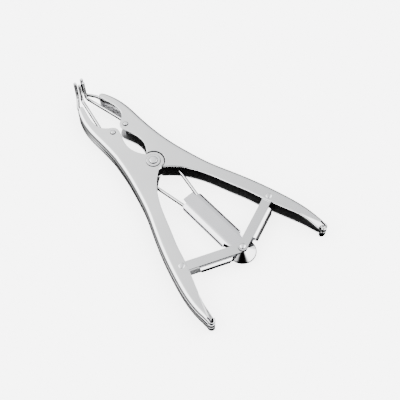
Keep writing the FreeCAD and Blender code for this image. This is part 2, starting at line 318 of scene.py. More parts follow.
@dataclass(frozen=True)
class RodFinish(SteelFinish):
    """Bright wire with a painted dark belly, and painted streaks on its upright prong.

    Both stand for what the wire mirrors in the photograph. They are painted reflection and shade, and no
    marks on the wire.

    Attributes:
        belly: Position over the thickness of the level wire, and brightness, of every stop.
        reflection_streaks: Strength of the noise, and brightness, of every stop of the painted streaks.
        upright: Position over the prong, and share of the streaks, of every stop.
        ends: Heights where the streaks begin and end, in metres.
    """

    # Painted reflection and shade: a dark belly under a bright top line, and dark streaks on the prong
    belly: Stops = ((0.0, 0.01), (0.92, 0.012), (0.955, 1.0))
    reflection_streaks: Stops = ((0.44, 0.03), (0.53, 0.12), (0.6, 0.9))
    upright: Stops = ((0.0, 0.0), (0.17, 1.0), (0.84, 1.0), (0.92, 0.25))
    ends: Point = (0.0105, 0.0282)

    def tinted(self, bench: NodeBench, where: Socket, colour: Socket) -> Socket:
        """Darkens the belly of the wire and streaks its prong.

        Args:
            bench: Bench of the material.
            where: Coordinates.
            colour: Colour of the even wire.

        Returns:
            The colour with belly and streaks.
        """
        height = bench.axis(where, "Z")
        belly = bench.greys(height, self.belly, (MID - WIRE_RADIUS) * MM, (MID + WIRE_RADIUS) * MM)
        plain = bench.product(colour, belly)
        streaked = bench.product(plain, bench.streaks(where, 0.06, self.reflection_streaks))
        return bench.mixed("MIX", bench.greys(height, self.upright, *self.ends), plain, streaked)


@dataclass(frozen=True)
class InsideFinish(SteelFinish):
    """Inside of a channel with upright marks, painted dark from the tip nearly to the nose.

    The dark stands for the shade in the photograph, and stays under any light.

    Attributes:
        along: Position from the tip to the nose, and brightness, of every stop.
        marks: Strength of the noise, and brightness, of every stop of the marks.
        ends: Y of the tip and of the nose, in metres.
    """

    along: Stops = ((0.0, 1.0), (1.0, 1.0))
    marks: Stops = ((0.3, 0.6), (0.6, 1.0))
    ends: Point = (-0.135, 0.085)

    def tinted(self, bench: NodeBench, where: Socket, colour: Socket) -> Socket:
        """Darkens the colour towards the tip and in the marks."""
        length = bench.greys(bench.axis(where, "Y"), self.along, *self.ends)
        return bench.product(bench.product(colour, length), bench.streaks(where, 0.08, self.marks))


@dataclass(frozen=True)
class RingedFinish(SteelFinish):
    """Steel with a ring of painted shade about the main pivot.

    The ring stands for the dark line in the photograph, and has no depth.

    Attributes:
        ring: Share of the reach, and brightness, of every stop.
        reach: Distance from the pivot that the stops share out, in metres.
    """

    ring: Stops = ((0.0, 1.0), (1.0, 1.0))
    reach: float = 0.012

    def tinted(self, bench: NodeBench, where: Socket, colour: Socket) -> Socket:
        """Darkens the ring."""
        far = bench.measured("LENGTH", bench.scaled(where, FLAT))
        return bench.product(colour, bench.greys(far, self.ring, 0.0, self.reach))


@dataclass(frozen=True)
class PaintedReflectionDiscFinish(SteelFinish):
    """Steel of the coned disc, with a dark wedge and rim of painted reflection.

    Both stand for what the cone mirrors in the photograph. They are colour, and don't move with
    the light.

    Attributes:
        around: Share of a turn, and brightness, of every stop.
        outwards: Share of the radius, and brightness, of every stop.
    """

    around: Stops = ((0.0, 1.0), (1.0, 1.0))
    outwards: Stops = ((0.0, 1.0), (1.0, 1.0))

    def tinted(self, bench: NodeBench, where: Socket, colour: Socket) -> Socket:
        """Darkens a wedge and the rim.

        Args:
            bench: Bench of the material.
            where: Coordinates.
            colour: Colour of even steel.

        Returns:
            The colour with wedge and rim.
        """
        plan = bench.scaled(where, FLAT, (-APEX_PIN[0] * MM, -APEX_PIN[1] * MM, 0.0))
        turn = bench.worked_out("ARCTAN2", bench.axis(plan, "X"), bench.axis(plan, "Y"))
        wedge = bench.greys(turn, self.around, -math.pi, math.pi)
        rim = bench.greys(bench.measured("LENGTH", plan), self.outwards, 0.0, DISC_RADIUS * MM)
        return bench.product(bench.product(colour, wedge), rim)


@dataclass(frozen=True)
class FloorFinish:
    """Matt white studio paper.

    Attributes:
        name: Name of the material.
        tone: Brightness of the base colour, linear.
        mottle: Brightness of the darker spots as a share of the tone.
        glow: Light of its own, as of paper lit from below.
    """

    name: str = "studio_paper"
    tone: float = 0.9
    mottle: float = 0.985
    glow: float = 4.0

    def material(self) -> bpy.types.Material:
        """Builds the node material.

        Returns:
            The material of the paper.
        """
        made = bpy.data.materials.new(self.name)
        made.use_nodes = True
        bench = NodeBench(made.node_tree)
        spots = bench.noise(bench.add("TexCoord").outputs["Object"], 30.0, 2.0)
        bench.feed(made.node_tree.nodes["Principled BSDF"], {
            "Base Color": bench.greys(spots, ((0.0, self.tone * self.mottle), (1.0, self.tone))),
            "Roughness": 0.9, "Emission Color": (1.0, 1.0, 1.0, 1.0), "Emission Strength": self.glow,
        })
        return made


HANDLE_TONE = (0.78, 0.785, 0.79)
LINK_WALL_TONE = (0.8, 0.8, 0.81)
HANDLE_STEEL = SteelFinish("handle_sheet_steel", HANDLE_TONE, roughness=0.14, wave_depth=6e-6)
# Painted shade: a dark ring where the joggled lobe steps under the other handle's lobe
JOGGLED_STEEL = RingedFinish(
    "joggled_sheet_steel", HANDLE_TONE, roughness=0.14, wave_depth=6e-6,
    ring=((0.0, 1.0), (0.7, 1.0), (0.712, 0.01), (0.775, 0.01), (0.79, 1.0)),
)
# Dark bands of painted reflection and shade over the height of the handles' walls
WEB_STEEL = LinedFinish(
    "handle_wall_steel", HANDLE_TONE, roughness=0.16, spread=0.04, mark_depth=3e-6, wave_depth=8e-6,
    lines=((0.0, 0.35), (0.07, 0.04), (0.12, 0.01), (0.42, 0.01), (0.46, 0.3), (0.5, 0.45), (0.55, 0.35),
           (0.59, 0.02), (0.75, 0.015), (0.84, 1.0)),
)
INSIDE_STEEL = InsideFinish(
    "channel_inside_steel", (1.0, 1.0, 1.02), roughness=0.5, spread=0.1, mark_scale=700.0,
    mark_depth=2e-5, wave_depth=1e-5,
    along=((0.0, 0.1), (0.6, 0.07), (0.72, 0.06), (0.8, 0.12), (0.84, 0.8), (1.0, 1.0)),
)
LINK_STEEL = SteelFinish("link_sheet_steel", (0.74, 0.745, 0.755), roughness=0.14)
# Dark bands of painted reflection and shade over the height of the links' walls
LINK_WALL_STEEL = {
    Side.LEFT: LinedFinish(
        "left_link_wall_steel", LINK_WALL_TONE, roughness=0.12, wander=0.0003,
        lines=((0.0, 0.2), (0.13, 0.08), (0.17, 0.012), (0.4, 0.012), (0.45, 0.25), (0.5, 1.0)),
    ),
    Side.RIGHT: LinedFinish(
        "right_link_wall_steel", LINK_WALL_TONE, roughness=0.12, wander=0.0003,
        lines=((0.0, 0.1), (0.36, 0.12), (0.43, 0.08), (0.47, 0.012), (0.63, 0.012), (0.7, 0.2),
               (0.8, 1.0)),
    ),
}
# Painted shade and reflection, near black as thin edges, rivet skirts and grooves look in the photograph:
# sheared steel itself is brighter
PAINTED_SHADE_STEEL = SteelFinish("painted_shade_edge_steel", (0.03, 0.03, 0.033), roughness=0.35, spread=0.05,
                         mark_scale=1500.0, mark_depth=3e-6, wave_depth=3e-6)
SLEEVE_STEEL = SteelFinish("sleeve_sheet_steel", (0.74, 0.74, 0.765), roughness=0.14)
WIRE_STEEL = RodFinish("bright_wire_steel", (0.82, 0.825, 0.83), roughness=0.1, mark_scale=1500.0,
                       wave_depth=3e-6)
RIVET_STEEL = SteelFinish("rivet_head_steel", (0.76, 0.765, 0.775), roughness=0.16, spread=0.05,
                          mark_scale=1200.0, mark_depth=4e-6, wave_depth=4e-6)
# Painted reflection: a dark wedge about the apex pin, and a dark rim
DISC_STEEL = PaintedReflectionDiscFinish(
    "coned_disc_steel", (0.77, 0.775, 0.785), roughness=0.12, mark_scale=1200.0, wave_depth=3e-6,
    around=((0.0, 1.0), (0.03, 1.0), (0.06, 0.1), (0.08, 0.03), (0.13, 0.03), (0.17, 0.12), (0.22, 0.35),
            (0.33, 1.0)),
    outwards=((0.0, 1.0), (0.925, 1.0), (0.95, 0.02), (1.0, 0.01)),
)


@dataclass(frozen=True)
class PlanCurve:
    """Smooth open curve through points of the plan, in millimetres.

    Attributes:
        points: Points that the curve goes through.
        samples: Number of points on the finished curve.
    """

    points: tuple[Point, ...]
    samples: int = 1600

    def dense(self) -> np.ndarray:
        """Samples a natural cubic spline through the points.

        Returns:
            Array with one row of x and y a sample.
        """
        knots = np.array(self.points, float)
        gaps = np.linalg.norm(np.diff(knots, axis=0), axis=1)
        runs = np.concatenate([[0.0], np.cumsum(gaps)])
        slopes = np.diff(knots, axis=0) / gaps[:, None]
        matrix = np.eye(len(knots))
        wanted = np.zeros((len(knots), 2))
        for i in range(1, len(knots) - 1):
            matrix[i, i - 1:i + 2] = gaps[i - 1], 2 * (gaps[i - 1] + gaps[i]), gaps[i]
            wanted[i] = 6 * (slopes[i] - slopes[i - 1])
        bends = np.linalg.solve(matrix, wanted)
        at = np.linspace(0.0, runs[-1], self.samples)
        piece = np.clip(np.searchsorted(runs, at, side="right") - 1, 0, len(knots) - 2)
        gap = gaps[piece][:, None]
        past, left = (at - runs[piece])[:, None], (runs[piece + 1] - at)[:, None]
        start, end = bends[piece], bends[piece + 1]
        curved = (start * left**3 + end * past**3) / (6 * gap)
        return (curved + (knots[piece] / gap - start * gap / 6) * left
                + (knots[piece + 1] / gap - end * gap / 6) * past)


def arc_through(first: Point, over: Point, last: Point, samples: int = 160) -> np.ndarray:
    """Samples a circular arc.

    Args:
        first: First point.
        over: Point that the arc goes over.
        last: Last point.
        samples: Number of samples.

    Returns:
        Array with one row of x and y a sample.
    """
    corners = np.array([first, over, last])
    chords = 2 * (corners[1:] - corners[0])
    centre = np.linalg.solve(chords, np.sum(corners[1:] ** 2 - corners[0] ** 2, axis=1))
    start, middle, stop = (math.atan2(*(corner - centre)[::-1]) for corner in corners)
    turn = (stop - start) % math.tau
    if (middle - start) % math.tau > turn:
        turn -= math.tau
    angles = start + turn * np.linspace(0.0, 1.0, samples)
    radius = math.dist(first, centre)
    return np.stack([centre[0] + radius * np.cos(angles), centre[1] + radius * np.sin(angles)], axis=1)


def path_lengths(path: np.ndarray) -> np.ndarray:
    """Gives the length from the start of a path to each of its points."""
    return np.concatenate([[0.0], np.cumsum(np.linalg.norm(np.diff(path, axis=0), axis=1))])


def points_at(path: np.ndarray, lengths: np.ndarray, where: np.ndarray) -> np.ndarray:
    """Gives the points of a path at lengths from its start, from the lengths at its own points."""
    return np.stack([np.interp(where, lengths, path[:, k]) for k in (0, 1)], axis=1)


def smooth_step(value: np.ndarray) -> np.ndarray:
    """Goes smoothly from 0 to 1 as the value does."""
    held = np.clip(value, 0.0, 1.0)
    return held * held * (3 - 2 * held)


def made_piece(name: str, net: bmesh.types.BMesh, finishes: tuple[SteelFinish, ...],
               sharp: float = 35.0) -> bpy.types.Object:
    """Turns a mesh in millimetres into a smooth shaded and dressed piece in metres.

    Args:
        name: Name of the piece.
        net: The mesh, freed here.
        finishes: Finishes in the order of the faces' material numbers.
        sharp: Angle in degrees from which an edge stays sharp.

    Returns:
        The new object, linked to the scene.
    """
    bmesh.ops.recalc_face_normals(net, faces=net.faces)
    for vert in net.verts:
        vert.co *= MM
    data = bpy.data.meshes.new(name)
    net.to_mesh(data)
    net.free()
    data.polygons.foreach_set("use_smooth", [True] * len(data.polygons))
    data.set_sharp_from_angle(angle=math.radians(sharp))
    for finish in finishes:
        data.materials.append(finish.material())
    piece = bpy.data.objects.new(name, data)
    bpy.context.scene.collection.objects.link(piece)
    piece.modifiers.new("weighted_normals", "WEIGHTED_NORMAL").keep_sharp = True
    return piece


def hand_over(piece: bpy.types.Object, node: str, body: str) -> None:
    """Lets a piece stand for a CAD node and move with its body.

    Args:
        piece: The piece.
        node: CAD node that it replaces.
        body: Body that it moves with.
    """
    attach(piece, body)
    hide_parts(node)
    LOG.info("built %s in place of %s, %d faces", piece.name, node, len(piece.data.polygons))


@dataclass(frozen=True)
class PinchedTip:
    """Press marks of a handle's tip: a sloping facet, and a groove along the rim.

    Sizes are in millimetres, in the plan of the right handle.

    Attributes:
        crease: Line at which the facet begins.
        slope: Slope of the facet.
        ease: Roundness of the crease, in square millimetres.
        runs_out: Y over the start of the crease where the facet begins, and the length until it is full.
        rim: Distance from the contour where the facet begins, and the width until it is full.
        groove: Depth of the groove.
        groove_at: Distance of the groove from the contour.
        groove_wide: Half width of the groove.
        groove_ends: Y over the end of the crease where the groove begins, and the length until it is full.
        fades: Height over the middle plane where the marks begin, and the height until they are full.
        shaded: Distances from the contour between which the groove gets painted shade.
        shaded_below: Y below which it is dark.
    """

    crease: tuple[Point, Point] = ((50.6, -109.5), (58.4, -129.5))
    slope: float = 0.9
    ease: float = 0.06
    runs_out: Point = (1.5, 5.0)
    rim: Point = (1.15, 0.45)
    groove: float = 1.1
    groove_at: float = 1.75
    groove_wide: float = 0.42
    groove_ends: Point = (1.6, 2.2)
    fades: Point = (1.0, 3.5)
    shaded: Point = (1.2, 2.5)
    shaded_below: float = -126.5

    def from_rim(self, contour: np.ndarray, spots: np.ndarray) -> np.ndarray:
        """Gives the distance of points of the tip from the contour of the handle."""
        rear = contour[contour[:, 1] < self.crease[0][1] + 8.0]
        return np.array([np.min(np.hypot(rear[:, 0] - x, rear[:, 1] - y)) for x, y in spots])

    def depth(self, contour: np.ndarray, spots: np.ndarray) -> np.ndarray:
        """Gives how far the press lowers the flange.

        Args:
            contour: Contour of the handle.
            spots: Rows of x and y.

        Returns:
            The depth at every point.
        """
        depth = np.zeros(len(spots))
        near = np.flatnonzero(spots[:, 1] < self.crease[0][1] + 6.0)
        if not len(near):
            return depth
        start, end = np.array(self.crease)
        along = (end - start) / math.dist(start, end)
        apart = spots[near] - start
        level = spots[near, 1]
        off = apart[:, 0] * along[1] - apart[:, 1] * along[0]
        facet = self.slope * 0.5 * (off + np.sqrt(off**2 + self.ease))
        facet *= smooth_step((start[1] + self.runs_out[0] - level) / self.runs_out[1])
        rim = self.from_rim(contour, spots[near])
        facet *= smooth_step((rim - self.rim[0]) / self.rim[1])
        groove = self.groove * np.exp(-(((rim - self.groove_at) / self.groove_wide) ** 2))
        groove *= smooth_step((end[1] + self.groove_ends[0] - level) / self.groove_ends[1])
        depth[near] = facet + groove
        return depth


@dataclass
class ChannelHandle:
    """Pressed steel channel handle with jaw, pivot lobes, grip and pinched tip.

    Sizes are in millimetres and the plan is that of the right handle.

    Attributes:
        side: Side of the pliers.
        joggled: Whether the lobes step inwards under those of the other handle.
        fuller: How much further out the back swells along the grip.
        fuller_from: Y at which the swelling begins.
        fuller_long: Its length towards the tip.
        bend: Outer radius of the folds along the back.
        edge: Rounding of the cut edges.
        step: Radius about the pivot up to which the lobes are sunk to the full depth.
        step_run: Length over which the flange rises again.
        sink: Depth of the joggle.
        refined: Radius within which the facets are divided for the joggle.
        flange_from: Height over the middle plane from which a facet counts as flange.
        tip: Press marks of the tip.
        slimmest: Largest share of the width that the sheet and a fold may take.
        nose: Length at the nose with close stations, and their number.
        rear: Length at the tip with close stations, and their number.
        stations: Sections between them.
        across: Rows over a flange.
        fold: Facets of a fold.
        smoothed: Stations over which the inner edge's places are evened out, an odd number.
        back: Back from the nose to the tip.
        jaw: Inner edge from the nose to the lobes.
        grip: Inner edge from the lobes to the tip.
        nose_arc: Rounding of the nose.
        tip_arc: Rounding of the tip.
        lobe_arc: Rounding of the lobes about the pivot.
        matches: Y on the back, and the point of the inner edge that lies across from it.
        rounding: Share inwards and share down of each step of a cut edge.
    """

    side: Side
    joggled: bool
    fuller: float = 0.0
    fuller_from: float = 22.0
    fuller_long: float = 145.0
    bend: float = 3.2
    edge: float = 0.28
    step: float = 8.5
    step_run: float = 0.8
    sink: float = SHEET + 0.1
    refined: float = 13.5
    flange_from: float = 5.0
    tip: PinchedTip = PinchedTip()
    slimmest: float = 0.42
    nose: tuple[float, int] = (9.0, 46)
    rear: tuple[float, int] = (30.0, 130)
    stations: int = 300
    across: int = 14
    fold: int = 6
    smoothed: int = 7
    back: PlanCurve = PlanCurve((
        (13.1, 81.2), (15.0, 78.2), (16.9, 73.8), (18.9, 67.2), (20.4, 57.0), (20.6, 43.5),
        (20.9, 29.4), (22.0, 16.0), (24.3, 1.5), (28.2, -14.9), (32.9, -30.8), (38.7, -45.2),
        (44.5, -59.4), (50.3, -75.7), (55.1, -91.5), (58.3, -104.6), (60.0, -119.1), (59.9, -129.0),
    ))
    jaw: PlanCurve = PlanCurve((
        (8.5, 79.9), (10.2, 73.0), (11.8, 66.0), (12.3, 59.5), (10.9, 53.6), (7.2, 49.3), (3.5, 46.7),
        (1.6, 43.6), (1.9, 40.2), (4.0, 34.4), (6.0, 27.5), (6.3, 22.0), (4.6, 15.4), (1.9, 10.6),
        (-0.2, 8.198),
    ))
    grip: PlanCurve = PlanCurve((
        (0.9, -8.15), (7.2, -13.3), (13.1, -19.5), (17.7, -26.3), (21.7, -33.5), (26.7, -45.3),
        (31.9, -59.0), (36.2, -70.2), (39.6, -81.2), (44.0, -93.6), (48.6, -105.4), (51.2, -112.5),
        (52.7, -118.8), (53.5, -124.8), (54.6, -131.0),
    ))
    nose_arc: tuple[Point, Point, Point] = ((8.5, 79.9), (10.6, 82.0), (13.1, 81.2))
    tip_arc: tuple[Point, Point, Point] = ((59.9, -129.0), (57.8, -133.1), (54.6, -131.0))
    lobe_arc: tuple[Point, Point, Point] = ((-0.2, 8.198), (-8.2, 0.0), (0.9, -8.15))
    rounding: tuple[Point, ...] = ((0.0, 1.0), (0.3, 0.3))
    matches: tuple[tuple[float, Point], ...] = (
        (80.6, (8.8, 78.6)), (74.5, (10.2, 73.0)), (67.0, (11.8, 66.0)), (60.0, (12.3, 59.5)),
        (52.5, (10.9, 53.6)), (47.5, (3.5, 46.7)), (43.0, (1.6, 43.6)), (33.5, (4.0, 34.4)),
        (22.0, (6.3, 22.0)), (14.5, (4.6, 15.4)), (9.5, (-0.2, 8.198)), (0.0, (-8.2, 0.0)),
        (-9.0, (0.9, -8.15)), (-15.5, (7.2, -13.3)), (-22.0, (13.1, -19.5)), (-30.5, (21.7, -33.5)),
        (-54.5, (31.9, -59.0)), (-77.5, (39.6, -81.2)), (-103.5, (48.6, -105.4)),
        (-122.5, (53.5, -124.8)),
    )

    def contour(self) -> np.ndarray:
        """Gives the outer contour over the nose, the back and the tip.

        Returns:
            Points of the contour.
        """
        back = self.back.dense()
        share = np.clip((self.fuller_from - back[:, 1]) / self.fuller_long, 0.0, 1.0)
        back[:, 0] += self.fuller * np.sin(math.pi * share) ** 0.6
        return np.concatenate([arc_through(*self.nose_arc)[:-1], back, arc_through(*self.tip_arc)[1:]])

    def inner_edge(self) -> np.ndarray:
        """Gives the inner edge over the jaw, the lobes and the grip."""
        lobes = arc_through(*self.lobe_arc, samples=400)
        return np.concatenate([self.jaw.dense(), lobes[1:], self.grip.dense()[1:]])

    def plan(self) -> tuple[np.ndarray, np.ndarray, np.ndarray]:
        """Works out the back, its inward normal and the inner edge at every station.

        Returns:
            Three arrays with one row a station.
        """
        back, inner = self.contour(), self.inner_edge()
        back_runs, inner_runs = path_lengths(back), path_lengths(inner)
        total = back_runs[-1]
        first = len(arc_through(*self.nose_arc)) - 1
        rising = slice(first, first + self.back.samples)
        heights, runs = back[rising, 1][::-1], back_runs[rising][::-1]
        marks = [0.0, *(np.interp(y, heights, runs) for y, _ in self.matches), total]
        nearest = [np.argmin(np.linalg.norm(inner - point, axis=1)) for _, point in self.matches]
        partners = [0.0, *inner_runs[nearest], inner_runs[-1]]
        (nose, nose_count), (rear, rear_count) = self.nose, self.rear
        where = np.concatenate([
            np.linspace(0.0, nose, nose_count)[:-1], np.linspace(nose, total - rear, self.stations)[:-1],
            np.linspace(total - rear, total, rear_count),
        ])
        across = np.pad(np.interp(where, marks, partners), self.smoothed // 2, mode="edge")
        across = np.convolve(across, np.ones(self.smoothed) / self.smoothed, mode="valid")
        across[0], across[-1] = partners[0], partners[-1]
        chord = 0.4
        ahead = points_at(back, back_runs, np.clip(where + chord, 0.0, total))
        run = ahead - points_at(back, back_runs, np.clip(where - chord, 0.0, total))
        run /= np.linalg.norm(run, axis=1)[:, None]
        normal = np.stack([run[:, 1], -run[:, 0]], axis=1)
        return points_at(back, back_runs, where), normal, points_at(inner, inner_runs, across)

    def sections(self) -> tuple[np.ndarray, list[bool]]:
        """Builds one closed section loop at every station.

        Returns:
            The loops as an array of stations, points and coordinates, and for each point
            whether it lies on the inside of the channel.
        """
        back, normal, rim = self.plan()
        wide = np.linalg.norm(back - rim, axis=1)
        sheet = np.minimum(SHEET, self.slimmest * wide)
        bend = np.minimum(self.bend, self.slimmest * wide)
        small = bend - np.minimum(sheet, 0.8 * bend)
        edge = np.minimum(self.edge, 0.3 * sheet)
        top, under = np.full_like(wide, HEIGHT / 2), HEIGHT / 2 - sheet
        web = back + normal * bend[:, None] - rim
        reach = np.linalg.norm(web, axis=1)
        inward = web / np.maximum(reach, 0.01)[:, None]
        lip = np.minimum(edge, 0.3 * reach)

        def row(start: np.ndarray, toward: np.ndarray, far: np.ndarray, level: np.ndarray) -> np.ndarray:
            """Gives one point of the loop at every station."""
            return np.column_stack([start + toward * far[:, None], level])

        outer = [row(rim, inward, share * lip, top - drop * edge) for share, drop in self.rounding]
        inner = [row(rim, inward, share * lip, under + drop * edge) for share, drop in self.rounding]
        for share in np.linspace(0.0, 1.0, self.across + 1):
            outer.append(row(rim, inward, lip + (reach - lip) * share, top))
            inner.append(row(rim, inward, lip + (reach - lip) * share, under))
        for turn in np.linspace(0.0, math.pi / 2, self.fold + 1)[1:]:
            side, drop = 1 - math.sin(turn), 1 - math.cos(turn)
            outer.append(row(back, normal, bend * side, top - bend * drop))
            inner.append(row(back, normal, sheet + small * side, under - small * drop))
        flip = np.array([1.0, 1.0, -1.0])
        loop = outer + [points * flip for points in outer[::-1]] + [points * flip for points in inner]
        inside = [False] * (2 * len(outer) + 2) + [True] * (2 * len(inner) - 4) + [False] * 2
        return np.stack(loop + inner[::-1], axis=1), inside

    def pressed(self, points: np.ndarray) -> np.ndarray:
        """Presses the joggle and the tip's marks into points of the flanges.

        Args:
            points: Rows of x, y and height over the middle plane.

        Returns:
            The rows with their new heights.
        """
        level = np.abs(points[:, 2])
        if self.joggled:
            radius = np.hypot(points[:, 0], points[:, 1])
            level = level - self.sink * (1 - smooth_step((radius - self.step) / self.step_run))
        fading = smooth_step((level - self.tip.fades[0]) / self.tip.fades[1])
        level = level - self.tip.depth(self.contour(), points[:, :2]) * fading
        return np.column_stack([points[:, :2], np.sign(points[:, 2]) * level])

    def shade_groove(self, net: bmesh.types.BMesh) -> None:
        """Gives the upper facets of the tip's groove the painted shade finish.

        Args:
            net: The flat mesh, before it is pressed.
        """
        faces, spots = [], []
        for face in net.faces:
            spot = face.calc_center_median()
            if face.material_index == 0 and spot.y < self.tip.shaded_below and spot.z > self.flange_from:
                faces.append(face)
                spots.append(spot[:2])
        for face, rim in zip(faces, self.tip.from_rim(self.contour(), spots)):
            if self.tip.shaded[0] < rim < self.tip.shaded[1]:
                face.material_index = 3

    def refine_joggle(self, net: bmesh.types.BMesh) -> None:
        """Divides the flanges' facets round the pivot, where the joggle is pressed.

        Args:
            net: The flat mesh.
        """
        edges = {}
        for face in net.faces:
            if all(math.hypot(x, y) < self.refined and abs(z) > self.flange_from
                   for x, y, z in (vert.co for vert in face.verts)):
                edges.update(dict.fromkeys(face.edges))
        bmesh.ops.subdivide_edges(net, edges=list(edges), cuts=3, use_grid_fill=True)

    def build(self) -> bpy.types.Object:
        """Builds the handle and puts it in place of its node.

        Returns:
            The finished piece.
        """
        loops, inside = self.sections()
        count, around = loops.shape[:2]
        # Points on the outside of half a section, and the steps of the loop that form the wall
        corner = len(self.rounding) + self.across + 1 + self.fold
        wall = range(corner - self.fold + 1, corner + self.fold)
        net = bmesh.new()
        verts = [[net.verts.new(point) for point in row] for row in loops]
        for near, far in zip(verts[:-1], verts[1:]):
            for j in range(around):
                k = (j + 1) % around
                face = net.faces.new((near[j], near[k], far[k], far[j]))
                face.material_index = 1 if inside[j] and inside[k] else 2 if j in wall else 0
        for row in (verts[0], verts[-1]):
            for j in range(around // 2 - 1):
                net.faces.new((row[j], row[j + 1], row[around - 2 - j], row[around - 1 - j]))
        if self.joggled:
            self.refine_joggle(net)
        self.shade_groove(net)
        spots = self.pressed(np.array([vert.co[:] for vert in net.verts]))
        for vert, (x, y, level) in zip(net.verts, spots):
            vert.co = (self.side.value * x, y, level + MID)
        word = self.side.word
        flange = JOGGLED_STEEL if self.joggled else HANDLE_STEEL
        piece = made_piece(word + "_channel_handle", net, (flange, INSIDE_STEEL, WEB_STEEL, PAINTED_SHADE_STEEL))
        hand_over(piece, word + "_handle", word + "_arm")
        return piece


@dataclass
class TurnedPiece:
    """Piece turned or upset round an upright axis, such as a rivet or a washer.

    Attributes:
        name: Name of the piece.
        node: CAD node that it stands for.
        body: Body that it moves with.
        at: Axis in the plan, in millimetres.
        profile: Outline as radius and height over the middle plane, closed or from axis to axis.
        unevenness: Depth of the marks of the hammer, in millimetres.
        shaded: First and last step of the outline that get painted shade, if any.
        segments: Steps round the axis.
        finish: Its finish.
        slot: Name of a material slot, not used.
    """

    name: str
    node: str
    body: str
    at: Point
    profile: tuple[Point, ...]
    unevenness: float = 0.0
    shaded: tuple[int, int] = (0, 0)
    segments: int = 64
    finish: SteelFinish = RIVET_STEEL
    slot: str = "rivet_steel"

    def ring(self, radius: float, level: float) -> list[Triple]:
        """Works out one ring of points.

        Args:
            radius: Radius of the outline.
            level: Its height over the middle plane.

        Returns:
            The points of the ring.
        """
        spots = []
        for k in range(self.segments):
            turn = math.tau * k / self.segments
            far = radius * (1 + self.unevenness * 0.5 * math.sin(3 * turn + 4 * level) / max(radius, 1))
            x, y = self.at[0] + far * math.cos(turn), self.at[1] + far * math.sin(turn)
            spots.append((x, y, MID + level))
        return spots

    def build(self) -> bpy.types.Object:
        """Builds the turned mesh and dresses it.

        Returns:
            The finished piece.
        """
        net = bmesh.new()
        rings = [[net.verts.new(spot) for spot in self.ring(*step)] for step in self.profile]
        if self.profile[0][0] > 0.0:
            rings.append(rings[0])
        for step, (upper, lower) in enumerate(zip(rings[:-1], rings[1:])):
            for k in range(self.segments):
                n = (k + 1) % self.segments
                face = net.faces.new((upper[k], upper[n], lower[n], lower[k]))
                face.material_index = int(self.shaded[0] <= step < self.shaded[1])
        if self.profile[0][0] == 0.0:
            bmesh.ops.remove_doubles(net, verts=net.verts, dist=1e-5)
        finishes = (self.finish, PAINTED_SHADE_STEEL) if self.shaded[1] else (self.finish,)
        piece = made_piece(self.name, net, finishes)
        hand_over(piece, self.node, self.body)
        return piece


@dataclass(frozen=True)
class RivetShape:
    """Outline of an upset rivet, in millimetres over the middle plane.

    Attributes:
        shank: Radius of the shank.
        head: Radius of the heads.
        top: Level under the upper head.
        low: Level over the lower head.
        foot: Height of the lower head.
        rim: Height of the heads' upright rims.
        rounding: Rounding of the lower head.
    """

    shank: float
    head: float
    top: float = HEIGHT / 2
    low: float = -HEIGHT / 2
    foot: float = FOOT
    rim: float = 0.12
    rounding: float = 0.5

    def stem(self) -> tuple[Point, ...]:
        """Gives the shank and the flat lower head.

        Returns:
            The outline from under the upper head to the axis.
        """
        rows = [(self.head - 0.1, self.top - 0.01), (self.shank, self.top - 0.02),
                (self.shank, self.low + 0.02), (self.head - 0.12, self.low + 0.01)]
        for turn in np.linspace(0.0, math.pi / 2, 5):
            drop = self.rim + (self.foot - self.rim) * math.sin(turn)
            rows.append((self.head - self.rounding * (1 - math.cos(turn)), self.low - drop))
        return (*rows, (0.0, self.low - self.foot))

    def domed(self, dome: float) -> tuple[Point, ...]:
        """Gives the whole outline with a round upper head.

        Args:
            dome: Height of the upper head.

        Returns:
            The outline from the axis over the rim to the axis.
        """
        rows = [(0.0, self.top + dome)]
        for turn in np.linspace(0.0, math.pi / 2, 9)[1:]:
            rise = self.rim + (dome - self.rim) * math.cos(turn) ** 0.9
            rows.append((self.head * math.sin(turn), self.top + rise))
        return (*rows, (self.head - 0.03, self.top + 0.02), *self.stem())

    def crowned(self, crown: tuple[Point, ...]) -> tuple[Point, ...]:
        """Gives the whole outline with an upper head of its own shape.

        Args:
            crown: Radius of each step and its height over the top.

        Returns:
            The outline from the axis over the rim to the axis.
        """
        return (*((radius, self.top + rise) for radius, rise in crown), *self.stem())


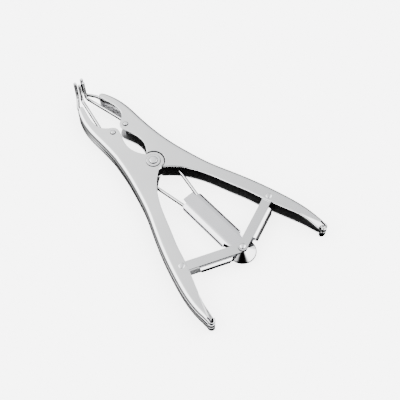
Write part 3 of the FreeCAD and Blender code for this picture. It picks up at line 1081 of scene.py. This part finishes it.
@dataclass
class Rivets:
    """All rivets and the pivot washer.

    Attributes:
        guide: Shape of the guide rivets.
        link: Shape of the rivets that hold the links in the handles.
        apex: Shape of the apex rivet.
        pivot: Shape of the main pivot rivet, whose upper head lies on the washer.
        guide_crown: Radius and height of the steps of the guide rivets' upper heads.
        pivot_crown: The same of the main pivot rivet.
        washer: Outline of the washer as radius and height over the handles.
    """

    guide: RivetShape = RivetShape(shank=1.2, head=2.4)
    link: RivetShape = RivetShape(shank=1.2, head=2.3)
    apex: RivetShape = RivetShape(shank=1.4, head=2.4, top=5.9, low=-5.9)
    pivot: RivetShape = RivetShape(shank=2.2, head=3.6, top=HEIGHT / 2 + 0.7)
    guide_crown: tuple[Point, ...] = ((0.0, 1.0), (0.9, 0.98), (1.4, 0.93), (1.7, 0.85), (1.9, 0.68),
                                      (2.18, 0.3), (2.38, 0.02))
    pivot_crown: tuple[Point, ...] = ((0.0, 0.86), (1.6, 0.84), (2.7, 0.76), (3.1, 0.66), (3.38, 0.48),
                                      (3.54, 0.26), (3.6, 0.02))
    washer: tuple[Point, ...] = ((2.25, 0.0), (2.25, 0.62), (2.4, 0.7), (3.9, 0.66), (4.9, 0.7),
                                 (5.55, 0.69), (5.75, 0.6), (5.88, 0.42), (5.9, 0.2), (5.82, 0.03),
                                 (5.7, 0.0))

    def build(self) -> None:
        """Builds every rivet and the washer."""
        crowned, domed = self.guide.crowned(self.guide_crown), self.link.domed(0.5)
        for side in Side:
            word, arm = side.word, side.word + "_arm"
            TurnedPiece(word + "_guide_rivet_head", word + "_guide_rivet", arm, side.mirrored(GUIDE_PIN),
                        crowned, unevenness=0.06, shaded=(3, 7)).build()
            TurnedPiece(word + "_link_rivet_head", word + "_link_rivet", arm, side.mirrored(LINK_PIN),
                        domed, unevenness=0.05).build()
        TurnedPiece("apex_rivet_head", "apex_rivet", "draw_bar", APEX_PIN, self.apex.domed(0.9),
                    unevenness=0.05, shaded=(7, 10)).build()
        TurnedPiece("pivot_rivet_head", "main_pivot_rivet", "left_arm", PIVOT,
                    self.pivot.crowned(self.pivot_crown), unevenness=0.04, shaded=(3, 7)).build()
        ring = tuple((radius, HEIGHT / 2 + rise) for radius, rise in self.washer)
        TurnedPiece("pivot_ring_washer", "pivot_washer", "left_arm", PIVOT, ring, unevenness=0.1,
                    shaded=(5, 9), segments=96).build()


@dataclass
class ApexDisc:
    """Shallow coned disc turned about the apex pin.

    Attributes:
        radius: Outer radius in millimetres.
    """

    radius: float = DISC_RADIUS

    def build(self) -> bpy.types.Object:
        """Builds the disc.

        Returns:
            The finished piece.
        """
        r = self.radius
        outline = (
            (1.45, -2.8), (2.7, -2.8), (3.0, -2.6), (3.0, 1.3), (3.2, 1.35), (r - 1.6, -2.1),
            (r - 0.5, -2.5), (r - 0.12, -2.45), (r, -2.2), (r - 0.05, -1.9), (r - 0.3, -1.75),
            (r - 0.9, -1.62), (r - 1.3, -1.35), (r - 3.0, -0.42), (5.5, 0.8), (3.6, 1.85), (3.2, 2.1),
            (3.0, 2.35), (2.9, 2.65), (2.7, 2.8), (1.45, 2.8),
        )
        return TurnedPiece("apex_cone_disc", "apex_disc", "draw_bar", APEX_PIN, outline, segments=128,
                           finish=DISC_STEEL, slot="disc_steel").build()


@dataclass
class ToggleLink:
    """Folded channel link from a handle to the apex, with round ears at both pins.

    Sizes are in millimetres, along the link from the pin in the handle.

    Attributes:
        side: Side of the pliers.
        levels: Upper and lower face over the middle plane.
        face: Distance of the folded wall from the line of the pins.
        bend: Outer radius of the folds.
        starts: Length without a wall at the handle, at the upper and the lower fold.
        stops: Length without a wall at the apex, at the upper and the lower fold.
        creased: Number of facets of the upper fold that hold a dark line of painted shade and reflection.
        width: Half width of the ears.
        sheet: Thickness of the sheet.
        stations: Sections between the pins.
        flange: Facets over a flange.
        fold: Facets of a fold.
        web: Facets over the wall between the folds.
    """

    side: Side
    levels: Point
    face: float
    bend: float
    starts: Point
    stops: Point
    creased: int = 0
    width: float = 3.6
    sheet: float = 0.9
    stations: int = 150
    flange: int = 8
    fold: int = 12
    web: int = 7

    @property
    def reach(self) -> float:
        """Distance between the pins."""
        return math.dist(LINK_PIN, APEX_PIN)

    def half_width(self, x: float) -> float:
        """Gives the half width of the ears, which is smaller beyond a pin."""
        beyond = max(-x, x - self.reach, 0.0)
        return math.sqrt(max(self.width**2 - beyond**2, 0.0))

    def profile(self) -> np.ndarray:
        """Gives the outer line of a whole section from the upper to the lower inner edge.

        Returns:
            Rows of offset, level, and the outward direction of both.
        """
        top, low = self.levels
        fold = self.bend - self.face
        turns = np.linspace(0.0, math.pi / 2, self.fold + 1)[1:]
        rows = [(y, top, 0.0, 1.0) for y in np.linspace(self.width, fold, self.flange + 1)]
        for turn in turns:
            sine, cosine = math.sin(turn), math.cos(turn)
            rows.append((fold - self.bend * sine, top - self.bend * (1 - cosine), -sine, cosine))
        for level in np.linspace(top - self.bend, low + self.bend, self.web + 1)[1:]:
            rows.append((-self.face, level, -1.0, 0.0))
        for turn in turns:
            sine, cosine = math.sin(turn), math.cos(turn)
            rows.append((fold - self.bend * cosine, low + self.bend * (1 - sine), -cosine, -sine))
        rows += [(y, low, 0.0, -1.0) for y in np.linspace(fold, self.width, self.flange + 1)[1:]]
        return np.array(rows)

    def has_sheet(self, x: float, y: float, level: float) -> bool:
        """Tells whether there is sheet at a point of the section.

        Args:
            x: Place along the link.
            y: Offset across the link.
            level: Height over the middle plane.

        Returns:
            True where there is sheet.
        """
        if y > -self.half_width(x):
            return True
        share = (self.levels[0] - level) / (self.levels[0] - self.levels[1])
        begin, end = (ends[0] + share * (ends[1] - ends[0]) for ends in (self.starts, self.stops))
        return begin <= x <= self.reach - end

    def zone(self, facet: int) -> int:
        """Gives the material number of an outer facet: flange, wall or crease of painted shade and
        reflection.
        """
        if self.flange <= facet < self.flange + self.creased:
            return 2
        return int(self.flange <= facet < self.flange + 2 * self.fold + self.web)

    def places(self) -> np.ndarray:
        """Gives the places of the sections along the link, close together over the round ears.

        Returns:
            The places in rising order.
        """
        turns = np.linspace(0.0, math.pi / 2, 12)
        ears = (-self.width * np.cos(turns), self.reach + self.width * np.sin(turns))
        return np.unique(np.concatenate([*ears, np.linspace(0.0, self.reach, self.stations)]))

    def shell(self, net: bmesh.types.BMesh) -> None:
        """Builds the folded sheet along X, with the pin in the handle at the origin.

        Args:
            net: Mesh that gets the sheet.
        """
        section, places = self.profile(), self.places()
        skins, linings = [], []
        for x in places:
            held = self.half_width(x) + 0.01
            line = np.column_stack([np.minimum(section[:, 0], held), section[:, 1]])
            skins.append([net.verts.new((x, y, z)) for y, z in line])
            linings.append([net.verts.new((x, y, z)) for y, z in line - self.sheet * section[:, 2:]])
        middles = 0.5 * (section[:-1, :2] + section[1:, :2])
        kept = [{j for j, middle in enumerate(middles) if self.has_sheet(0.5 * (near + far), *middle)}
                for near, far in zip(places[:-1], places[1:])]
        for i, facets in enumerate(kept):
            before = kept[i - 1] if i else set()
            after = kept[i + 1] if i + 1 < len(kept) else set()
            skin, next_skin, lining, next_lining = skins[i], skins[i + 1], linings[i], linings[i + 1]
            for j in facets:
                k = j + 1
                net.faces.new((skin[j], skin[k], next_skin[k], next_skin[j])).material_index = self.zone(j)
                net.faces.new((lining[j], next_lining[j], next_lining[k], lining[k]))
                for goes_on, corners in (
                    (j - 1 in facets, (skin[j], next_skin[j], next_lining[j], lining[j])),
                    (k in facets, (skin[k], lining[k], next_lining[k], next_skin[k])),
                    (j in before, (skin[j], lining[j], lining[k], skin[k])),
                    (j in after, (next_skin[j], next_skin[k], next_lining[k], next_lining[j])),
                ):
                    if not goes_on:
                        net.faces.new(corners).material_index = 2
        bmesh.ops.delete(net, geom=[vert for vert in net.verts if not vert.link_faces], context="VERTS")
        bmesh.ops.remove_doubles(net, verts=net.verts, dist=1e-4)

    def build(self) -> bpy.types.Object:
        """Builds the link and puts it in place of its node.

        Returns:
            The finished piece.
        """
        net = bmesh.new()
        self.shell(net)
        turn = math.atan2(APEX_PIN[1] - LINK_PIN[1], LINK_PIN[0])
        sine, cosine = math.sin(turn), math.cos(turn)
        for vert in net.verts:
            x, y, level = vert.co
            inward = x * cosine - y * sine
            outward = self.side.value * (LINK_PIN[0] - inward)
            vert.co = (outward, LINK_PIN[1] + x * sine + y * cosine, MID + level)
        if self.side is Side.RIGHT:
            bmesh.ops.reverse_faces(net, faces=net.faces)
        word = self.side.word
        finishes = (LINK_STEEL, LINK_WALL_STEEL[self.side], PAINTED_SHADE_STEEL)
        piece = made_piece(word + "_folded_link", net, finishes, 40.0)
        hand_over(piece, word + "_link", word + "_toggle")
        return piece


@dataclass
class Studio:
    """Floor, surrounding light and camera.

    Directions of the surround go from 0, opposite, to 1, straight ahead. Its stops hold a
    position, a brightness and, where it is cool, a blueness.

    Attributes:
        floor_size: Edge of the paper, in metres.
        strength: Strength of the surround.
        across: Level direction from the left to the right of the picture.
        away: Level direction away from the camera.
        over: Upper half from the left to the right: two soft boxes and a dimmer gap.
        behind: The same behind the camera, with a dark gap.
        screen: The same far ahead.
        near: Share of what is behind the camera, from behind to ahead.
        far: Share of the screen, from behind to ahead.
        risen: Brightness of the upper half from the horizon upwards.
        lamp: Lamp far ahead on the right: from the left to the right, and from behind to ahead.
        below: Share of the lower half, from straight down to straight up.
        under: Lower half from behind to ahead.
        eye: Camera position, in metres.
        aim: Point that the camera looks at, in metres.
        lens: Focal length for a 36 mm square picture.
    """

    floor_size: float = 6.0
    strength: float = 6.0
    across: Triple = (0.741, -0.671, 0.0)
    away: Triple = (0.671, 0.741, 0.0)
    over: Stops = ((0.0, 1.0), (0.31, 1.0), (0.37, 0.42), (0.44, 0.36), (0.5, 0.29, 0.01),
                   (0.57, 0.23, 0.03), (0.63, 0.26, 0.02), (0.69, 1.0), (1.0, 1.0))
    behind: Stops = ((0.0, 1.0), (0.28, 0.9), (0.32, 0.5), (0.37, 0.006), (0.64, 0.004), (0.69, 1.0),
                     (1.0, 1.0))
    screen: Stops = ((0.0, 0.4), (0.44, 0.36), (0.5, 0.29, 0.01), (0.57, 0.23, 0.03), (1.0, 0.2, 0.03))
    near: Stops = ((0.38, 1.0), (0.46, 0.0))
    far: Stops = ((0.77, 0.0), (0.82, 1.0))
    risen: Stops = ((0.22, 0.05), (0.4, 1.0))
    lamp: tuple[Stops, Stops] = (((0.77, 0.0), (0.8, 0.5)), ((0.77, 0.0), (0.83, 1.0)))
    below: Stops = ((0.1, 1.0), (0.14, 0.0))
    under: Stops = ((0.0, 0.008), (0.265, 0.01), (0.285, 1.0), (0.55, 0.95), (0.66, 0.3), (0.72, 0.01),
                    (1.0, 0.008))
    eye: Triple = (-0.2002, -0.2763, 0.5107)
    aim: Triple = (0.00574, -0.04859, 0.00815)
    lens: float = 68.27

    def floor(self) -> bpy.types.Object:
        """Lays the paper on the ground, hidden from mirrored rays.

        Returns:
            The floor object.
        """
        net = bmesh.new()
        bmesh.ops.create_grid(net, x_segments=8, y_segments=8, size=self.floor_size / 2)
        data = bpy.data.meshes.new("studio_floor")
        net.to_mesh(data)
        net.free()
        data.materials.append(FloorFinish().material())
        piece = bpy.data.objects.new("studio_floor", data)
        bpy.context.scene.collection.objects.link(piece)
        piece.visible_glossy = False
        return piece

    def surround(self) -> None:
        """Sets the light from all round: soft boxes, a dim gap between them and a dark horizon."""
        world = bpy.data.worlds.new("studio_surround")
        bpy.context.scene.world = world
        world.use_nodes = True
        bench = NodeBench(world.node_tree)
        where = bench.add("TexCoord").outputs["Generated"]
        height = bench.axis(where, "Z")
        side, ahead = (bench.span(bench.measured("DOT_PRODUCT", where, direction), -1.0, 1.0)
                       for direction in (self.across, self.away))
        room = bench.mixed("MIX", bench.greys(ahead, self.near), bench.greys(side, self.over),
                           bench.greys(side, self.behind))
        room = bench.mixed("MIX", bench.greys(ahead, self.far), room, bench.greys(side, self.screen))
        room = bench.product(room, bench.greys(height, self.risen))
        lamp = bench.product(bench.greys(side, self.lamp[0]), bench.greys(ahead, self.lamp[1]))
        room = bench.mixed("LIGHTEN", 1.0, room, lamp)
        below = bench.greys(bench.span(height, -1.0, 1.0), self.below)
        room = bench.mixed("MIX", below, room, bench.greys(ahead, self.under))
        bench.feed(world.node_tree.nodes["Background"], {"Color": room, "Strength": self.strength})

    def camera(self) -> None:
        """Places the camera at the picture's viewing angle."""
        data = bpy.data.cameras.new("studio_camera")
        data.lens = self.lens
        data.sensor_width = 36.0
        data.clip_start = 0.01
        shot = bpy.data.objects.new("studio_camera", data)
        bpy.context.scene.collection.objects.link(shot)
        shot.location = self.eye
        turn = (Vector(self.aim) - Vector(self.eye)).to_track_quat("-Z", "Y")
        shot.rotation_euler = turn.to_euler()
        bpy.context.scene.camera = shot

    def build(self) -> None:
        """Sets up the whole studio."""
        self.floor()
        self.surround()
        self.camera()


@dataclass
class CarriedNodes:
    """CAD nodes that keep their own meshes and only get a finish.

    Attributes:
        finishes: Finish of each node by name.
    """

    finishes: dict[str, SteelFinish]

    def dress(self) -> None:
        """Dresses every carried node."""
        for name, finish in self.finishes.items():
            finish.dress(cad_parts[name])
            LOG.info("dressed %s", name)


def main() -> None:
    """Builds the studio and the pliers in order."""
    logging.basicConfig(level=logging.INFO, format="%(name)s: %(message)s")
    Studio().build()
    ChannelHandle(Side.LEFT, joggled=False, fuller=1.3).build()
    ChannelHandle(Side.RIGHT, joggled=True).build()
    Rivets().build()
    ApexDisc().build()
    ToggleLink(Side.LEFT, levels=(4.8, -5.8), face=5.0, bend=1.2, starts=(12.3, 14.0), stops=(9.5, 11.5),
               creased=6).build()
    ToggleLink(Side.RIGHT, levels=(5.8, -4.8), face=7.2, bend=3.8, starts=(9.0, 10.5),
               stops=(10.4, 14.0)).build()
    finishes: dict[str, SteelFinish] = {"draw_sleeve": SLEEVE_STEEL}
    for side in Side:
        finishes[side.word + "_draw_wire"] = WIRE_STEEL
        finishes[side.word + "_outer_prong"] = WIRE_STEEL
    CarriedNodes(finishes).dress()


if __name__ == "__main__":
    main()
